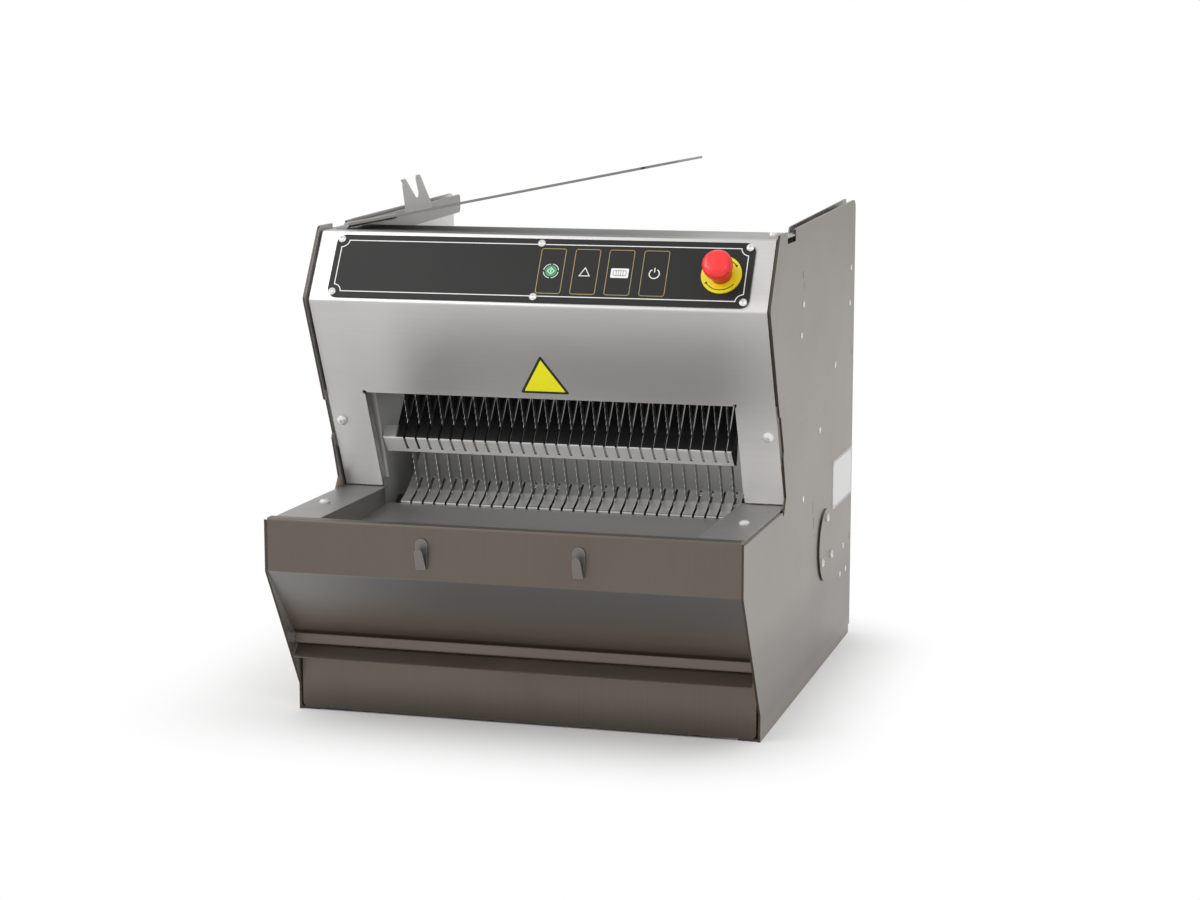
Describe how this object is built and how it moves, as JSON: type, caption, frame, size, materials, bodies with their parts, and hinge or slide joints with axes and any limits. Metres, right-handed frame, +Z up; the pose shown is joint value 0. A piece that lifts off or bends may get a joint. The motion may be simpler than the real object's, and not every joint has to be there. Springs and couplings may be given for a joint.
{
  "type": "bread slicer machine",
  "caption": "Countertop bread slicer: folded steel housing, two counter-moving blade frames, swinging pusher, hold-down, discharge chute with bag hooks, crumb drawer and hinged flap.",
  "frame": {"origin": "centre of the base, on the surface that the machine stands on", "axes": "+X to the operator's right, +Y from the operator to the rear, +Z up"},
  "size_m": [0.6268, 0.7569, 0.7185],
  "materials": {
    "stainless_sheet": "brushed stainless sheet",
    "pale_sheet": "bright brushed stainless sheet",
    "dark_sheet": "brushed stainless sheet in shade",
    "zinc_sheet": "zinc-plated folded sheet",
    "control_face": "matt overlay on sheet",
    "board_case": "moulded housing",
    "stop_yellow": "moulded, gloss",
    "stop_red": "moulded, gloss",
    "blade_steel": "ground blade strip",
    "frame_alloy": "machined bar",
    "ground_shaft": "ground and plated",
    "bearing_bronze": "plain bearing bronze",
    "grey_iron": "cast, painted dark",
    "motor_paint": "enamelled casting",
    "black_polymer": "filled polymer, matt",
    "belt_rubber": "fabric-faced rubber",
    "screw_steel": "plated button heads",
    "gland_black": "moulded"
  },
  "bodies": {
    "housing": {"left_side_panel": "stainless_sheet", "right_side_panel": "stainless_sheet", "base_plate": "zinc_sheet", "rear_panel": "stainless_sheet", "front_cover": "pale_sheet", "top_plate": "stainless_sheet", "control_plate": "control_face", "control_unit": "board_case", "stop_collar": "stop_yellow", "stop_neck": "stop_red", "chute_apron": "dark_sheet", "chute_floor": "dark_sheet", "chute_walls": "stainless_sheet", "bag_hooks": "stainless_sheet", "slotted_floor": "pale_sheet", "floor_support": "zinc_sheet", "bay_liners": "stainless_sheet", "top_rails": "stainless_sheet", "cover_brackets": "zinc_sheet", "panel_screws": "screw_steel", "shaft_cover": "stainless_sheet", "guide_rods": "ground_shaft", "rod_blocks": "frame_alloy", "crank_bearings": "grey_iron", "main_motor": "motor_paint", "motor_bed": "zinc_sheet", "drive_belt": "belt_rubber", "pusher_bearings": "grey_iron", "pusher_gearmotor": "motor_paint", "hold_down_rod": "ground_shaft", "hold_down_brackets": "frame_alloy", "drawer_runners": "zinc_sheet", "flap_hinge": "zinc_sheet", "electrics_box": "zinc_sheet", "cable_gland": "gland_black"},
    "stop_button": {"stop_head": "stop_red"},
    "frame_a": {"blade_beams_a": "frame_alloy", "side_bars_a": "frame_alloy", "hangers_a": "frame_alloy", "blades_a": "blade_steel", "bushings_a": "bearing_bronze"},
    "frame_b": {"blade_beams_b": "frame_alloy", "side_bars_b": "frame_alloy", "hangers_b": "frame_alloy", "blades_b": "blade_steel", "bushings_b": "bearing_bronze"},
    "crank": {"crankshaft": "ground_shaft", "crank_pulley": "grey_iron"},
    "rods_a": {"con_rods_a": "frame_alloy"},
    "rods_b": {"con_rods_b": "frame_alloy"},
    "motor_rotor": {"motor_pulley": "grey_iron"},
    "pusher": {"pusher_shaft": "ground_shaft", "pusher_arms": "stainless_sheet", "pusher_comb": "stainless_sheet", "pusher_fingers": "stainless_sheet"},
    "hold_down": {"hold_down_grate": "black_polymer", "hold_down_nose": "pale_sheet"},
    "drawer": {"drawer_front": "dark_sheet", "crumb_tray": "stainless_sheet"},
    "flap": {"top_flap": "stainless_sheet", "bag_fork": "stainless_sheet"}
  },
  "joints": [
    {"name": "stop_press", "type": "slide", "parent": "housing", "child": "stop_button", "axis": [0, 0.8483, -0.5296], "range_m": [0, 0.004]},
    {"name": "frame_a_slide", "type": "slide", "parent": "housing", "child": "frame_a", "axis": [0, -0.3584, 0.9336], "range_m": [-0.014, 0.014]},
    {"name": "frame_b_slide", "type": "slide", "parent": "housing", "child": "frame_b", "axis": [0, -0.3584, 0.9336], "range_m": [-0.014, 0.014]},
    {"name": "crank_spin", "type": "hinge", "parent": "housing", "child": "crank", "pos_m": [0, -0.04909, 0.099], "axis": [1, 0, 0], "continuous": true},
    {"name": "rods_a_turn", "type": "hinge", "parent": "crank", "child": "rods_a", "pos_m": [0, -0.06216, 0.09398], "axis": [1, 0, 0], "continuous": true},
    {"name": "rods_b_turn", "type": "hinge", "parent": "crank", "child": "rods_b", "pos_m": [0, -0.03602, 0.10402], "axis": [1, 0, 0], "continuous": true},
    {"name": "motor_spin", "type": "hinge", "parent": "housing", "child": "motor_rotor", "pos_m": [0, 0.202, 0.092], "axis": [1, 0, 0], "continuous": true},
    {"name": "pusher_swing", "type": "hinge", "parent": "housing", "child": "pusher", "pos_m": [0, 0.106, 0.172], "axis": [1, 0, 0], "range_deg": [0, 57]},
    {"name": "hold_down_lift", "type": "hinge", "parent": "housing", "child": "hold_down", "pos_m": [0, -0.103, 0.424], "axis": [-1, 0, 0], "range_deg": [0, 28]},
    {"name": "drawer_slide", "type": "slide", "parent": "housing", "child": "drawer", "axis": [0, -1, 0], "range_m": [0, 0.25]},
    {"name": "flap_hinge_turn", "type": "hinge", "parent": "housing", "child": "flap", "pos_m": [-0.28, -0.1065, 0.6295], "axis": [0, -1, 0], "range_deg": [-11.2, 80]}
  ],
  "couplings": [
    {"joint": "frame_b_slide", "follows": "frame_a_slide", "ratio": -1},
    {"joint": "rods_a_turn", "follows": "crank_spin", "ratio": -1},
    {"joint": "rods_b_turn", "follows": "crank_spin", "ratio": -1},
    {"joint": "motor_spin", "follows": "crank_spin", "ratio": 2.5}
  ]
}
